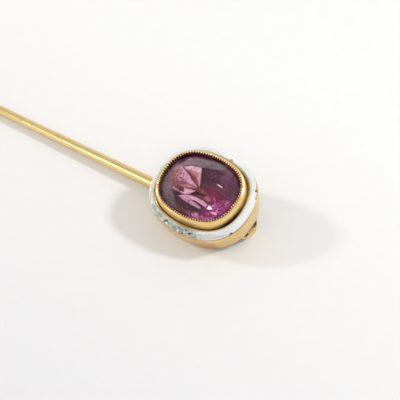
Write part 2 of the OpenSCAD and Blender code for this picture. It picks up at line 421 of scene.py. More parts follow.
def enamel_material():
    """White glaze, and under it what each kind of damage lays open."""
    mat, tree, shader = new_material("white_enamel")
    loss = attribute(tree, "loss")
    cloud = noise_tex(tree, 420, 3, 0.5)
    crumb = noise_tex(tree, 3000, 6, 0.65)
    speck = noise_tex(tree, 9000, 2, 0.5)
    white = ramp(tree, cloud, [(0.3, (0.64, 0.665, 0.655)), (0.7, (0.77, 0.785, 0.77))])
    crust = ramp(tree, crumb, [
        (0.32, (0.11, 0.14, 0.115)),
        (0.43, (0.26, 0.305, 0.26)),
        (0.55, (0.375, 0.43, 0.375)),
        (0.66, (0.64, 0.70, 0.60)),
    ])
    ground = ramp(tree, crumb, [(0.35, (0.46, 0.37, 0.24)), (0.65, (0.74, 0.66, 0.50))])
    color = white
    for cover, tone in (
        (attribute(tree, "stain"), (0.30, 0.27, 0.18)),
        (loss, crust),
        (attribute(tree, "bare"), ground),
        (attribute(tree, "shine"), (0.86, 0.93, 0.84)),
        (attribute(tree, "pit"), (0.03, 0.04, 0.03)),
    ):
        color = mix_color(tree, cover, color, tone)
    tree.links.new(color, shader.inputs["Base Color"])
    dull, sheen = mathn(tree, "MULTIPLY", loss, 0.6), mathn(tree, "MULTIPLY", cloud, 0.22)
    tree.links.new(mathn(tree, "ADD", dull, sheen), shader.inputs["Roughness"])
    coarse, fine = mathn(tree, "MULTIPLY", crumb, loss), mathn(tree, "MULTIPLY", speck, 0.05)
    bump(tree, shader, mathn(tree, "ADD", coarse, fine), 0.5, 0.00008)
    return mat


# ---------------------------------------------------------------- bezel
# Profiles are rows of distance outside the outline, height and rounding. They
# are led round the outline in as many steps as the _TURN values say.
BEZEL_TURN = 720
INNER_FACE, OUTER_FACE = 0.20, 0.4        # where its inner and outer face end
# Where the painted shade at its foot is deepest, in the photograph's frame
FOOT_SHADE = [(232, 224, 17, 9, -45, 1)]
bezel_profile = densify(rounded([
    (GIRDLE + 0.02, GIRDLE_W + 0.03, 0),
    (0.06, HEAD_H - 0.42, 0.05),
    (0.04, HEAD_H - 0.16, 0.05),
    (0.10, HEAD_H - 0.09, 0.03),
    (0.17, HEAD_H - 0.08, 0.02),
    (0.22, HEAD_H - 0.03, 0.04),
    (0.31, HEAD_H - 0.06, 0.08),
    (0.43, HEAD_H - 0.24, 0.16),
    (0.51, HEAD_H - 0.62, 0.2),
    (0.56, HEAD_H - 1.05, 0.2),
    (0.59, HEAD_H - 1.45, 0.15),
    (0.59, SHELF + 0.05, 0),
], 7), 0.07)
bezel = swept("bezel_collar", bezel_profile, BEZEL_TURN, change=waver(UNEVEN, 0.8, 3.0))


def bezel_shade():
    """Painted shade at the collar's foot, deepest at the lower right, and inside its lip."""
    out, high = all_round(bezel_profile, BEZEL_TURN)
    most = spots_at(picture(obj_points(bezel)), FOOT_SHADE)
    edge, fade = HEAD_H - 0.70 + 0.38 * most, 0.75 - 0.15 * most
    foot = np.where(out > OUTER_FACE, np.clip((edge - high) / fade, 0, 1) ** 1.2, 0)
    wall = np.clip(0.62 + (high - HEAD_H + 0.42) / 0.5, 0.62, 1)
    return np.maximum(foot, np.clip((INNER_FACE - out) / 0.03, 0, 1) * wall)


gild(bezel, gold, bezel_shade())

# ---------------------------------------------------------------- milgrain
N_BEADS = 92
BEAD_OUT, BEAD_W = 0.06, HEAD_H - 0.19
BEAD_LEAN = math.radians(13)
# Half sizes outward, along the row and in height
BEAD = (0.12, 0.082, 0.31)
BEAD_SIZE, BEAD_SIDE, BEAD_STEP = 0.10, 0.015, 0.012   # how much they vary


def beads():
    """Grains cut into the lip, tall at its inner side and leaning outward."""
    verts, faces = [], []
    n_lon, n_lat = 14, 10
    lean, stand = math.sin(BEAD_LEAN), math.cos(BEAD_LEAN)
    spots, normals = outline(N_BEADS, BEAD_OUT)
    for (x, y), (nx, ny) in zip(spots, normals):
        out = np.array([nx, ny, 0])
        side = np.array([-ny, nx, 0])
        lift = np.array([nx * lean, ny * lean, stand])
        thick = np.array([nx * stand, ny * stand, -lean])
        size = 1 + rng.uniform(-BEAD_SIZE, BEAD_SIZE)
        mid = np.array([x, y, BEAD_W])
        mid += (side * rng.uniform(-BEAD_SIDE, BEAD_SIDE)
                + out * rng.uniform(-BEAD_STEP, BEAD_STEP))
        top = len(verts)
        for i in range(n_lat + 1):
            la = math.pi * i / n_lat
            for j in range(n_lon if 0 < i < n_lat else 1):
                lo = 2 * math.pi * j / n_lon
                q = (thick * math.sin(la) * math.cos(lo) * BEAD[0]
                     + side * math.sin(la) * math.sin(lo) * BEAD[1]
                     + lift * math.cos(la) * BEAD[2])
                verts.append(mid + q * size)
        low, first = len(verts) - 1, top + 1
        for i in range(n_lat - 2):
            for j in range(n_lon):
                k = (j + 1) % n_lon
                p, q = first + i * n_lon, first + (i + 1) * n_lon
                faces.append((p + j, q + j, q + k, p + k))
        last = first + (n_lat - 2) * n_lon
        for j in range(n_lon):
            k = (j + 1) % n_lon
            faces.append((top, first + j, first + k))
            faces.append((low, last + k, last + j))
    return make_mesh("milgrain_beads", lie(np.array(verts)), faces)


milgrain = beads()
# The grains are pink gold, made pale as a painted highlight
gild(milgrain, gold, 0.0, 0.7)

# ---------------------------------------------------------------- cup
CUP_TURN = 480
cup_profile = densify(rounded([
    (BORDER_IN - 0.10, SHELF - 0.02, 0),
    (BORDER_IN - 0.10, TOP - 0.14, 0.04),
    (BORDER_IN, TOP - 0.12, 0.04),
    (BORDER_IN + 0.02, TOP - 0.30, 0.03),
    (BORDER_OUT - 0.42, TOP - 0.31, 0.1),
    (BORDER_OUT - 0.29, TOP - 0.50, 0.03),
    (BORDER_OUT - 0.29, FOOT, 0.02),
    (BORDER_OUT, FOOT, 0.05),
    (BORDER_OUT + 0.03, FOOT - 0.12, 0.1),
    (BORDER_OUT + 0.03, FOOT - 0.5, 0.3),
    (BACK + 0.135, 1.152, 0.5),
    (BACK, 0.14, 0.14),
    (BACK - 0.14, 0.0, 0.08),
    (BACK - 0.6, 0.0, 0),
], 6), 0.12)
cup = swept("cup_wall", cup_profile, CUP_TURN, change=waver(UNEVEN, 0.5, 11.0))


def cup_shade():
    """Painted shade down the fence's inner side, deeper lower down, and in the groove under the
    enamel.
    """
    out, high = all_round(cup_profile, CUP_TURN)
    fence = np.where(out < BORDER_IN + 0.02, np.clip((TOP - 0.2 - high) / 0.35, 0, 1), 0.0)
    return np.maximum(fence, np.clip(1 - abs(high - FOOT + 0.02) / 0.10, 0, 1) * 0.4)


gild(cup, gold, cup_shade())

# The floor of the channel between collar and border, dirty and in painted shade all over
SHELF_TURN = 360
shelf = swept("channel_floor", [
    (COLLAR - 0.2, SHELF),
    (COLLAR + 0.03, SHELF - 0.01),
    (COLLAR + 0.15, SHELF - 0.02),
    (BORDER_IN - 0.05, SHELF),
], SHELF_TURN)
gild(shelf, gold, 1.0)

DISH = 0.03                               # hollow of the closed back


def back_plate():
    """Closed back inside the cup's rim, a little dished."""
    n, rings = 180, 14
    spots, _ = outline(n, BACK - 0.6)
    verts, faces = [(0, 0, DISH)], []
    for k in range(1, rings + 1):
        share = k / rings
        for x, y in spots:
            verts.append((x * share, y * share, DISH * (1 - share ** 2)))
    for i in range(n):
        j = (i + 1) % n
        faces.append((0, 1 + i, 1 + j))
        for k in range(rings - 1):
            p, q = 1 + k * n, 1 + (k + 1) * n
            faces.append((p + i, q + i, q + j, p + j))
    return make_mesh("back_plate", lie(np.array(verts)), faces, flip=False)


back = back_plate()
gild(back, gold, 0.05)

# ---------------------------------------------------------------- stem
STEM_SIDE, STEM_W = 0.31, -0.53           # the stem's axis under the back
STEM_R, SHANK_R, TIP_R = 0.61, 0.46, 0.07
THICK, TAPER = 4.0, 22.0                  # where the taper begins and ends
SHANK, POINT = 24.0, 10.0                 # lengths beyond it
BUTT_R, BUTT_LEN, BUTT_EDGE = 0.42, 1.6, 0.06
STEM_END = WIN_L / 2 + BACK - 0.5


def stem_mesh():
    """Butt, thick part, taper, straight shank and ground point."""
    n = 64
    total = TAPER + SHANK
    marks = [(-STEM_END, 0.0), (-STEM_END, BUTT_R - BUTT_EDGE), (-STEM_END + BUTT_EDGE, BUTT_R)]
    marks += [(BUTT_LEN - STEM_END, STEM_R)]
    marks += [(x, STEM_R) for x in np.linspace(BUTT_LEN - STEM_END + 0.3, THICK - 0.4, 20)]
    marks += [(x, STEM_R + (SHANK_R - STEM_R) * (x - THICK) / (TAPER - THICK))
              for x in np.linspace(THICK, TAPER, 40)]
    marks += [(x, SHANK_R) for x in np.linspace(TAPER + 0.6, total - 0.3, 40)]
    marks += [(total + POINT * k, SHANK_R + (TIP_R - SHANK_R) * k)
              for k in np.linspace(0.02, 0.985, 24)]
    marks += [(total + POINT * 0.995, TIP_R * 0.8), (total + POINT, 0.0)]
    verts, faces = [], []
    for x, r in marks:
        for k in range(n):
            a = 2 * math.pi * k / n
            verts.append((-x, STEM_SIDE + r * math.sin(a), STEM_W + r * math.cos(a)))
    for i in range(len(marks) - 1):
        for k in range(n):
            m = (k + 1) % n
            faces.append((i * n + k, i * n + m, (i + 1) * n + m, (i + 1) * n + k))
    return make_mesh("stem", lie(np.array(verts)), faces, flip=False)


stem = stem_mesh()
gild(stem, gold_stem, 0.0)

# ---------------------------------------------------------------- end lug
LUG_W, LUG_T, LUG_LEN, LUG_FOOT_R = 2.8, 0.36, 1.73328, 0.45
LUG_EDGE = 0.05                           # rounding of its edges
LUG_TURN = math.radians(-12)
LUG_ROOT = (STEM_END - 0.06, 0.25, 0.3)
# Its openings, measured across and up from the root
LUG_WINDOWS = [
    [(-0.34, -0.9), (-0.86, -1.06), (-0.66, -1.6), (-0.12, -1.62)],
    [(0.72, -0.5), (1.16, -0.2), (1.0, -0.86), (0.52, -1.32)],
]
# Painted shade in the openings, by place in the photograph's frame
LUG_SHADE = [(254.3, 224, 2.6, 3.4, 20, 1), (246.8, 235, 2.6, 2, -20, 1)]


def lug_mesh():
    """A filled outline with its openings, given thickness and round edges."""
    side, knee = LUG_W / 2, LUG_LEN * 0.6
    foot = [(LUG_FOOT_R * math.cos(a), -LUG_LEN - LUG_FOOT_R * math.sin(a))
            for a in np.linspace(math.radians(8), math.radians(172), 15)]
    sides = [(side, 0.0), (side, -0.2), (side - 0.2, -knee)]
    outer = sides + foot + [(-x, y) for x, y in reversed(sides)]
    curve = bpy.data.curves.new("lug_outline", "CURVE")
    curve.dimensions = "2D"
    curve.fill_mode = "BOTH"
    curve.extrude = LUG_T / 2 - LUG_EDGE
    curve.bevel_depth = LUG_EDGE
    curve.bevel_resolution = 3
    curve.offset = -LUG_EDGE
    for pts in [outer] + LUG_WINDOWS:
        sp = curve.splines.new("POLY")
        sp.points.add(len(pts) - 1)
        for p, q in zip(sp.points, pts):
            p.co = (q[0], q[1], 0, 1)
        sp.use_cyclic_u = True
    tmp = link("lug_tmp", curve)
    bpy.context.view_layer.update()
    shape = tmp.evaluated_get(bpy.context.evaluated_depsgraph_get())
    mesh = bpy.data.meshes.new_from_object(shape)
    bpy.data.objects.remove(tmp)
    mesh.name = "end_lug"
    # the outline's x is the head's v, its y is w, its z the head's u
    turn = Matrix(((0, 0, 1, LUG_T / 2), (1, 0, 0, 0), (0, 1, 0, 0), (0, 0, 0, 1)))
    lean = Matrix.Rotation(LUG_TURN, 4, "Z")
    mesh.transform(Matrix.Scale(MM, 4) @ LIE @ Matrix.Translation(LUG_ROOT) @ turn @ lean)
    mesh.flip_normals()
    return link("end_lug", mesh)


lug = lug_mesh()
gild(lug, gold, spots_at(picture(obj_points(lug)), LUG_SHADE))

# ---------------------------------------------------------------- enamel
ENAMEL_TURN = 1200
ENAMEL_SHIFT = -0.02                      # along the stem
WEAR = 0.24                               # deepest that it is worn
enamel_profile = densify(rounded([
    (BORDER_IN + 0.02, TOP - 0.26, 0),
    (BORDER_IN + 0.05, TOP - 0.08, 0.1),
    (BORDER_IN + 0.14, TOP - 0.01, 0.12),
    (BORDER_IN + 0.32, TOP, 0.2),
    (BORDER_OUT - 0.20, TOP - 0.09, 0.2),
    (BORDER_OUT - 0.06, TOP - 0.30, 0.2),
    (BORDER_OUT, TOP - 0.55, 0.2),
    (BORDER_OUT, FOOT + 0.06, 0.04),
    (BORDER_OUT - 0.05, FOOT + 0.02, 0.03),
    (BORDER_OUT - 0.27, FOOT + 0.02, 0),
], 6), 0.035)
# Age damage, placed where the photograph shows it: x, y, radius along and
# across, turn in degrees, strength. Crust is lost glaze, stain a tinge on what
# is left of it, bare the gold or clay showing through, pit a dark hole and
# shine a fresh chip.
CRUST = [
    (155, 207, 4, 4, 70, 0.75), (160, 214, 6, 5, 55, 1.0), (167, 221, 8, 6, 45, 1.0),
    (175, 228, 8, 6.5, 35, 1.0), (184, 232.5, 9, 5.5, 26, 1.0), (193, 236, 7, 4.5, 15, 0.9),
    (201, 237, 5, 3, 5, 0.5), (152, 199, 2.5, 4, 80, 0.4),
]
STAIN = [
    (186, 228, 9, 1.6, 26, 0.7), (231.5, 234.2, 2.2, 1.4, 0, 0.9),
    (220, 236.5, 14, 0.6, -12, 0.4), (259, 185, 2.4, 7, 8, 0.5), (154.5, 190, 1.6, 2.2, 80, 0.5),
    (231.5, 160.5, 2.0, 1.2, 30, 0.8), (208, 235.5, 5, 2.2, 0, 0.25),
]
BARE = [
    (168, 228.5, 7, 2.6, 38, 0.9), (258.5, 189, 4.2, 11, 12, 0.9), (178, 236, 7, 1.4, 30, 0.7),
    (160, 220, 4, 1.5, 50, 0.7), (151.5, 190, 1.5, 9, 8, 0.5),
]
PIT = [
    (165.3, 220.8, 1.7, 1.1, 30, 1), (189.5, 234, 1.3, 1.0, 0, 1), (231.3, 234.1, 1.0, 0.7, 0, 0.9),
    (256.6, 191, 1.1, 0.9, 0, 1), (258.3, 183, 1.0, 2.4, 12, 0.7), (258, 200, 2.2, 0.9, 30, 0.5),
    (186, 230.4, 1.4, 0.6, 25, 0.6), (182, 233.5, 1.0, 0.6, 20, 0.6),
    (175.6, 229.5, 0.8, 0.7, 20, 0.8), (258.5, 197, 1.6, 0.8, 30, 0.6),
]
SHINE = [
    (166.3, 223, 1.2, 0.9, 30, 1), (177.3, 230.4, 1.4, 0.8, 25, 1), (184, 233, 1.0, 0.6, 0, 0.7),
]


def outward(grid):
    """Unit directions out of a swept grid of points, turn by profile."""
    normal = np.cross(np.gradient(grid, axis=1), np.roll(grid, -1, 0) - np.roll(grid, 1, 0))
    normal /= np.linalg.norm(normal, axis=2)[:, :, None] + 1e-12
    middle = lie([(0, 0, 2.0)])[0]
    if (normal * (grid - middle)).sum() < 0:
        normal = -normal
    return normal.reshape(-1, 3)


def enamel_mesh():
    """The glazed ring, worn down, pitted and chipped where the tables say."""
    obj = swept("enamel_ring", enamel_profile, ENAMEL_TURN, ENAMEL_SHIFT)
    pts = obj_points(obj)
    xy = picture(pts)
    n_prof = len(enamel_profile)
    rag = ragged(pts, 2600, 0.0, 4)
    # the inner edge has kept its glaze
    share = np.tile(np.linspace(0, 1, n_prof), ENAMEL_TURN)
    loss = spots_at(xy, CRUST, rag * 0.9) * np.clip((share - 0.14) / 0.10 + rag * 0.6, 0, 1)
    bare = spots_at(xy, BARE, rag * 0.7)
    pit = spots_at(xy, PIT, rag * 0.3)
    crust = ragged(pts, 6500, 9.0, 4)
    soft = ragged(pts, 500, 4.0, 2)
    depth = 0.012 * soft - loss * (0.035 + 0.06 * crust) - bare * 0.05 - pit * 0.10
    depth[(share < 0.03) | (share > 0.97)] = 0    # ends that meet the gold
    normal = outward(pts.reshape(ENAMEL_TURN, n_prof, 3))
    pts = pts + normal * np.maximum(depth, -WEAR)[:, None] * MM
    obj.data.vertices.foreach_set("co", pts.reshape(-1))
    point_attribute(obj, "loss", loss)
    point_attribute(obj, "stain", spots_at(xy, STAIN, rag * 0.5))
    point_attribute(obj, "bare", bare)
    point_attribute(obj, "pit", pit)
    point_attribute(obj, "shine", spots_at(xy, SHINE, rag * 0.3))
    obj.data.update()
    return obj


ring = enamel_mesh()
ring.data.materials.append(enamel_material())


# ---------------------------------------------------------------- stone
CROWN, PAVILION, GIRDLE_T = 1.0, 2.9, 0.12        # heights
TABLE, STAR, LOW, CULET = 0.62, 0.8, 0.3, 0.05   # shares of the girdle's width
FACET_TURN = math.radians(-20)
STAR_LIFT = 0.06                                 # of the stars' lower corners

# Tones of the stone and of its painted light, as red, green and blue of the finished picture
PLUM = (84, 46, 62)
DEEP = (50, 20, 32)
WINE = (104, 36, 60)
SMOKE = (110, 98, 104)
LILAC = (150, 116, 136)
PINK = (203, 150, 174)
BLUSH = (208, 168, 178)
ROSE = (180, 116, 124)
SAND = (196, 142, 140)
CLAY = (136, 82, 80)
BRICK = (140, 84, 80)
COPPER = (150, 92, 84)
RUST = (112, 54, 50)
MAUVE = (112, 78, 100)
VIOLET = (92, 40, 96)
MAGENTA = (124, 38, 90)
MULBERRY = (150, 60, 104)
BERRY = (150, 54, 112)
CERISE = (160, 60, 122)
ORCHID = (188, 84, 150)
FUCHSIA = (196, 96, 152)
MALLOW = (206, 106, 170)
THISTLE = (196, 112, 168)
HEATHER = (206, 130, 178)
PEONY = (226, 120, 196)
CLOVER = (224, 140, 200)
PHLOX = (220, 150, 196)
CANDY = (240, 150, 214)
GLEAM = (244, 200, 226)
GLINT = (285, 262, 280)     # above 255, so that the mottling leaves it white

# Painted light seen in the stone through its crown, over its own colour, one row a painted
# reflection, highlight, or lit or shaded facet: tone, softness of its edge, strength, corners in
# the photograph's frame
PAINTED_FACETS = [
    (WINE, 12, 0.8, [(200, 186), (214, 188), (224, 196), (222, 210), (208, 206), (198, 196)]),
    (MAGENTA, 8, 0.8, [(209, 212), (221, 207), (233, 199), (236, 205), (224, 218), (204, 222)]),
    (MAGENTA, 6, 0.8, [(190, 213), (204, 209), (214, 208), (210, 222), (192, 221)]),
    (PLUM, 6, 0.7, [(228, 172), (238, 178), (241, 192), (236, 202), (230, 196), (229, 184)]),
    (DEEP, 5, 0.55, [(203, 168), (222, 171), (226, 182), (214, 184), (203, 180)]),
    (MAUVE, 4, 0.5, [(221, 176), (228, 175), (231, 182), (226, 186), (221, 182)]),
    (MAUVE, 3, 0.8, [(224, 167), (231, 168.5), (236, 174), (232, 176), (226, 171)]),
    (DEEP, 3, 0.8, [
        (173, 192), (180, 197), (191, 204), (200.5, 209), (201, 212), (188, 212), (177, 207),
    ]),
    (RUST, 4, 0.5, [(175, 204), (184, 209), (196, 213), (190, 215), (178, 211)]),
    (SMOKE, 4, 0.85, [
        (158, 196), (160, 180), (168, 168), (179, 161), (178, 168), (172, 180), (172.5, 192),
        (175, 206), (164, 206),
    ]),
    (MAUVE, 3, 0.5, [(160, 192), (172, 192), (173, 196), (161, 198)]),
    (MAUVE, 2.5, 0.5, [(164, 201), (175, 203), (177, 208), (168, 207)]),
    (SMOKE, 1.4, 0.95, [
        (179, 163), (186, 161), (193, 158.4), (205, 159.2), (218, 162.8), (229, 167.4),
        (227.5, 169.4), (222, 170.4), (206, 168), (201, 167.4), (192, 165.6), (182, 166.2),
    ]),
    (LILAC, 3, 0.25, [
        (181, 163), (187, 161.2), (196, 160), (203, 162), (201, 165.4), (191, 164.6),
        (182, 165.4),
    ]),
    (RUST, 1.4, 0.5, [(182, 165.2), (187, 164.4), (192, 165.2), (187.5, 166)]),
    (LILAC, 1.4, 0.9, [(187.5, 159.8), (190.6, 157.6), (192.6, 158.8), (190, 160.2)]),
    (VIOLET, 3, 0.8, [
        (188, 156.4), (198, 153.6), (210, 155.2), (214, 158.6), (204, 158), (193, 157.6),
    ]),
    (ROSE, 4, 0.8, [
        (176, 168), (180, 165), (186, 171), (192, 181), (197, 187.6), (186, 184.4), (172, 180),
    ]),
    (PINK, 1.6, 0.95, [
        (179.6, 164.8), (182.4, 166.6), (188.2, 173.6), (192.4, 180), (197.4, 187), (191, 184),
        (185.4, 181.6), (182, 176), (180, 170),
    ]),
    (PINK, 4, 0.6, [(175.5, 177), (181, 173), (185, 180.6), (181, 181.4), (174.6, 180.6)]),
    (CLAY, 5, 0.7, [
        (170, 183), (174, 178), (184, 181), (192, 185), (197.6, 188.6), (190, 187.8), (180, 186),
        (171, 187),
    ]),
    (SAND, 1.8, 0.7, [(180, 184.2), (188, 185), (197.4, 188), (190, 187.6), (182, 185.8)]),
    (CLAY, 5, 0.5, [(169, 174), (176, 170), (177, 180), (170, 184)]),
    (ROSE, 1.0, 0.95, [
        (182.8, 166.6), (191.7, 165.8), (201.6, 167.8), (201, 176), (200.2, 184.2), (199, 187.6),
        (195, 183), (188.4, 171.6),
    ]),
    (BLUSH, 1.2, 0.95, [
        (183.6, 166.8), (191.7, 165.9), (201.5, 167.9), (201.2, 173.4), (196, 171.4),
        (190.6, 169.8), (186.6, 169.4),
    ]),
    (BLUSH, 3.0, 0.6, [(198.4, 172), (201.2, 173), (200.6, 182), (199, 185.4), (197.6, 179)]),
    (RUST, 2.6, 0.8, [
        (187.6, 170.6), (190, 171.4), (195.6, 176), (198.6, 182), (199, 187.6), (194.4, 182.4),
        (190, 176),
    ]),
    (DEEP, 0.9, 0.7, [
        (183, 167), (184.2, 167), (189.6, 172.8), (195, 181), (199, 187.6), (197.6, 187.4),
        (192.8, 180.4), (188, 173),
    ]),
    (DEEP, 1.6, 0.75, [
        (201.8, 167.8), (204.4, 168.4), (203.2, 176), (201.8, 187), (200, 189.4), (200.4, 180),
    ]),
    (RUST, 2.4, 0.9, [
        (196, 187.4), (199.6, 187.6), (206.4, 194.6), (203, 195.2), (196.6, 190.2),
    ]),
    (PINK, 1.0, 0.9, [
        (172.8, 186.2), (175.2, 187.2), (178.7, 190), (186.2, 192.6), (185.6, 194.4),
        (181, 192.6), (175.2, 189.9), (172.8, 188),
    ]),
    (DEEP, 1.0, 0.8, [
        (172.6, 190.2), (178.5, 192.6), (184.4, 195), (180, 195.4), (174.2, 194.4),
    ]),
    (RUST, 1.6, 0.7, [(176.2, 185.8), (183.8, 187), (184, 192), (179.6, 190)]),
    (PINK, 0.8, 1.0, [
        (183.9, 187), (186.6, 188.4), (195.8, 190.9), (188.2, 194.2), (184, 192.7),
    ]),
    (DEEP, 0.9, 1.0, [
        (196, 190.9), (188.4, 194.3), (194, 194.6), (201, 195.6), (208, 197), (202, 193.8),
    ]),
    (PINK, 0.8, 0.95, [
        (178, 195.2), (186.2, 194.6), (192.2, 195.6), (198.1, 198.1), (204.1, 201.6),
        (207.6, 205.4), (205.8, 207.4), (202.2, 205), (194.7, 200.4), (186, 199), (180, 196.6),
    ]),
    (PINK, 0.9, 0.8, [
        (180, 196.6), (192.2, 200.6), (197.3, 204.4), (200.5, 207.2), (199.8, 209), (195.6, 207),
        (187.9, 202.8), (182.8, 199.4),
    ]),
    (DEEP, 0.6, 0.9, [
        (193, 200.2), (195, 200.4), (200.4, 204.2), (202.4, 207), (201, 207.6), (198.4, 204.8),
    ]),
    (ROSE, 2.0, 0.7, [(202.4, 197.4), (208.4, 196.2), (211, 200.2), (207.5, 201.6)]),
    (RUST, 2.0, 0.8, [(196, 195.8), (204, 196.4), (207, 200.4), (202, 199.4)]),
    (COPPER, 0.6, 0.6, [(198.6, 188.2), (199.6, 188), (203, 191.6), (202.2, 192)]),
    (COPPER, 0.6, 0.6, [(201.6, 190.2), (202.6, 190), (206.4, 193.8), (205.4, 194.2)]),
    (BRICK, 0.6, 0.5, [(204, 192), (205, 191.8), (209.4, 196), (208.4, 196.4)]),
    (GLEAM, 0.7, 0.85, [
        (216.7, 184.3), (218.4, 184.3), (222.6, 187.2), (222.3, 188.1), (220.6, 187.1),
        (217.6, 185.2),
    ]),
    (ORCHID, 1.2, 0.7, [(213, 197), (214.6, 197.4), (216.4, 203), (214.8, 203.6)]),
    (CERISE, 2.2, 0.6, [(214, 206), (219, 203.6), (222, 205), (218, 209.4), (214.6, 211)]),
    (FUCHSIA, 1.0, 0.7, [(224.6, 203.4), (228.4, 200.6), (229.6, 202.4), (226, 206)]),
    (BERRY, 2.8, 0.5, [(221, 208), (228, 204), (229, 207), (222, 212)]),
    (GLINT, 0.5, 1.0, [
        (206.6, 208.8), (209.8, 205), (210.6, 207.4), (212.6, 209.4), (209.2, 209.6),
    ]),
    (CANDY, 0.8, 0.8, [(211.4, 206.6), (214.6, 203.4), (215.4, 204), (212.4, 207.6)]),
    (GLINT, 0.5, 0.9, [
        (210.6, 212.4), (213.6, 212.2), (216.8, 214.2), (215.6, 215), (212.6, 213.8),
    ]),
    (PEONY, 1.2, 0.8, [
        (211, 212.6), (214.2, 212.4), (217.6, 208.6), (218.2, 209.4), (216.4, 214.4),
        (212.7, 214.4),
    ]),
    (HEATHER, 1.8, 0.8, [(192, 214), (196, 213), (199.6, 217), (198, 219.4), (193.4, 217)]),
    (THISTLE, 1.8, 0.7, [(201, 217.6), (208, 218), (214, 216.8), (213, 219.6), (203, 220.4)]),
]
# Specks seen in the stone, its own mottling and painted sparkle: tone, x, y, half width and height,
# turn, strength
SPECKS_AND_SPARKLE = [
    (RUST, 175, 177, 6, 9, 15, 1.0), (DEEP, 181, 175, 4, 7, -30, 1.0),
    (RUST, 179, 181, 7, 3, 10, 0.9), (CLAY, 181, 170, 4, 5, 0, 0.8),
    (BLUSH, 178, 172, 3.5, 6, 10, 0.5), (DEEP, 178, 189, 5, 3, 20, 0.9),
    (RUST, 216, 200, 9, 12, 0, 0.45), (MULBERRY, 214, 194, 7, 8, 0, 0.4),
    (MALLOW, 222, 208, 9, 6, -35, 0.45), (PHLOX, 196, 216, 8, 3, 20, 0.9),
    (MAUVE, 236, 188, 3.5, 14, 0, 0.8), (DEEP, 206, 176, 6, 6, 0, 0.5),
    (MAUVE, 214, 176, 8, 6, 20, 0.5), (CLAY, 226, 190, 6, 10, 0, 0.3),
    (CLOVER, 214, 212, 8, 4, -20, 0.4), (DEEP, 190, 200, 8, 3, 30, 0.5),
    (MAUVE, 184, 206, 8, 5, 25, 0.5), (MAUVE, 232, 186, 6, 14, 0, 0.4),
    (LILAC, 168, 184, 8, 12, 0, 0.35), (DEEP, 170, 194, 8, 10, 0, 0.4),
]


def inside(xy, corners, soft):
    """Soft cover of a polygon, from 0 outside to 1 inside."""
    poly = np.array(corners, float)
    x, y = xy[:, 0], xy[:, 1]
    odd = np.zeros(len(xy), bool)
    near = np.full(len(xy), 1e9)
    for (ax, ay), (bx, by) in zip(poly, np.roll(poly, -1, 0)):
        cross = (ay > y) != (by > y)
        with np.errstate(divide="ignore", invalid="ignore"):
            at = (bx - ax) * (y - ay) / (by - ay) + ax
        odd ^= cross & (x < at)
        ex, ey = bx - ax, by - ay
        t = np.clip(((x - ax) * ex + (y - ay) * ey) / (ex * ex + ey * ey), 0, 1)
        near = np.minimum(near, np.hypot(x - ax - t * ex, y - ay - t * ey))
    d = np.where(odd, near, -near)
    k = np.clip(0.5 + d / soft, 0, 1)
    return k * k * (3 - 2 * k)


def linear(rgb):
    """Picture values, 0 to 255, to the light that a shader takes."""
    c = np.array(rgb, float) / 255
    return np.where(c <= 0.04045, c / 12.92, ((c + 0.055) / 1.055) ** 2.4)


def stone_mesh():
    """A brilliant cut. Its crown is divided finely, to carry the tones and the painted light."""
    n = 8
    m, half = 2 * n, math.pi / n
    w0, w1 = GIRDLE_W, GIRDLE_W - GIRDLE_T

    def pt(share, ang, w):
        far = share * reach(FACET_TURN + ang, GIRDLE)
        return (far * math.cos(FACET_TURN + ang), far * math.sin(FACET_TURN + ang), w)

    cf, pf = CROWN / (1 - TABLE), PAVILION / (1 - CULET)
    star_w = w0 + STAR_LIFT + cf * (1 - STAR * math.cos(half))
    low_w = w1 - pf * (1 - LOW * math.cos(half))
    rings = [
        [pt(TABLE, i * 2 * half, w0 + CROWN) for i in range(n)],
        [pt(STAR, i * 2 * half + half, star_w) for i in range(n)],
        [pt(1, i * half, w0) for i in range(m)],
        [pt(1, i * half, w1) for i in range(m)],
        [pt(LOW, i * 2 * half + half, low_w) for i in range(n)],
        [pt(CULET, i * 2 * half, w1 - PAVILION) for i in range(n)],
    ]
    corner = [np.array(p) for r in rings for p in r]
    corner.append(np.array((0, 0, w0 + CROWN)))
    # Where each ring's corners start: table, stars, girdle's two edges,
    # pavilion and culet. The table's middle comes last.
    T, S, G, L, P, C, MID = 0, n, 2 * n, 4 * n, 6 * n, 7 * n, 8 * n
    # Crown facets end with the number of steps that divide their sides
    fine, plain = [], []
    for i in range(n):
        j, h = (i + 1) % n, (i - 1) % n
        fine.append((MID, T + i, T + j, 60))
        fine.append((T + i, S + i, T + j, 20))
        fine.append((T + i, G + 2 * i, S + i, 26))
        fine.append((T + i, S + h, G + 2 * i, 26))
        fine.append((S + i, G + 2 * i, G + 2 * i + 1, 16))
        fine.append((S + i, G + 2 * i + 1, G + (2 * i + 2) % m, 16))
        plain += [(P + i, L + 2 * i + 1, L + 2 * i), (P + i, L + (2 * i + 2) % m, L + 2 * i + 1),
                  (C + i, P + i, L + 2 * i, P + h), (C + i, C + j, P + i)]
    plain += [(G + i, L + i, L + (i + 1) % m, G + (i + 1) % m) for i in range(m)]
    plain.append(tuple(C + i for i in reversed(range(n))))
    verts, faces = [], []
    for a, b, c, steps in fine:
        row = []
        for i in range(steps + 1):
            row.append(len(verts))
            for j in range(i + 1):
                s, t = i / steps, j / steps
                verts.append(corner[a] * (1 - s) + corner[b] * (s - t) + corner[c] * t)
        for i in range(steps):
            for j in range(i + 1):
                p, q = row[i] + j, row[i + 1] + j
                faces.append((p, q, q + 1))
                if j < i:
                    faces.append((p, q + 1, p + 1))
    base = len(verts)
    verts += corner
    faces += [tuple(base + k for k in f) for f in plain]
    return make_mesh("faceted_stone", lie(np.array(verts)), faces, smooth=False)


def laid(tone, rgb, cover):
    """A tone at each point, covered with another as far as the cover goes."""
    k = cover[:, None]
    return tone * (1 - k) + linear(rgb)[None] * k


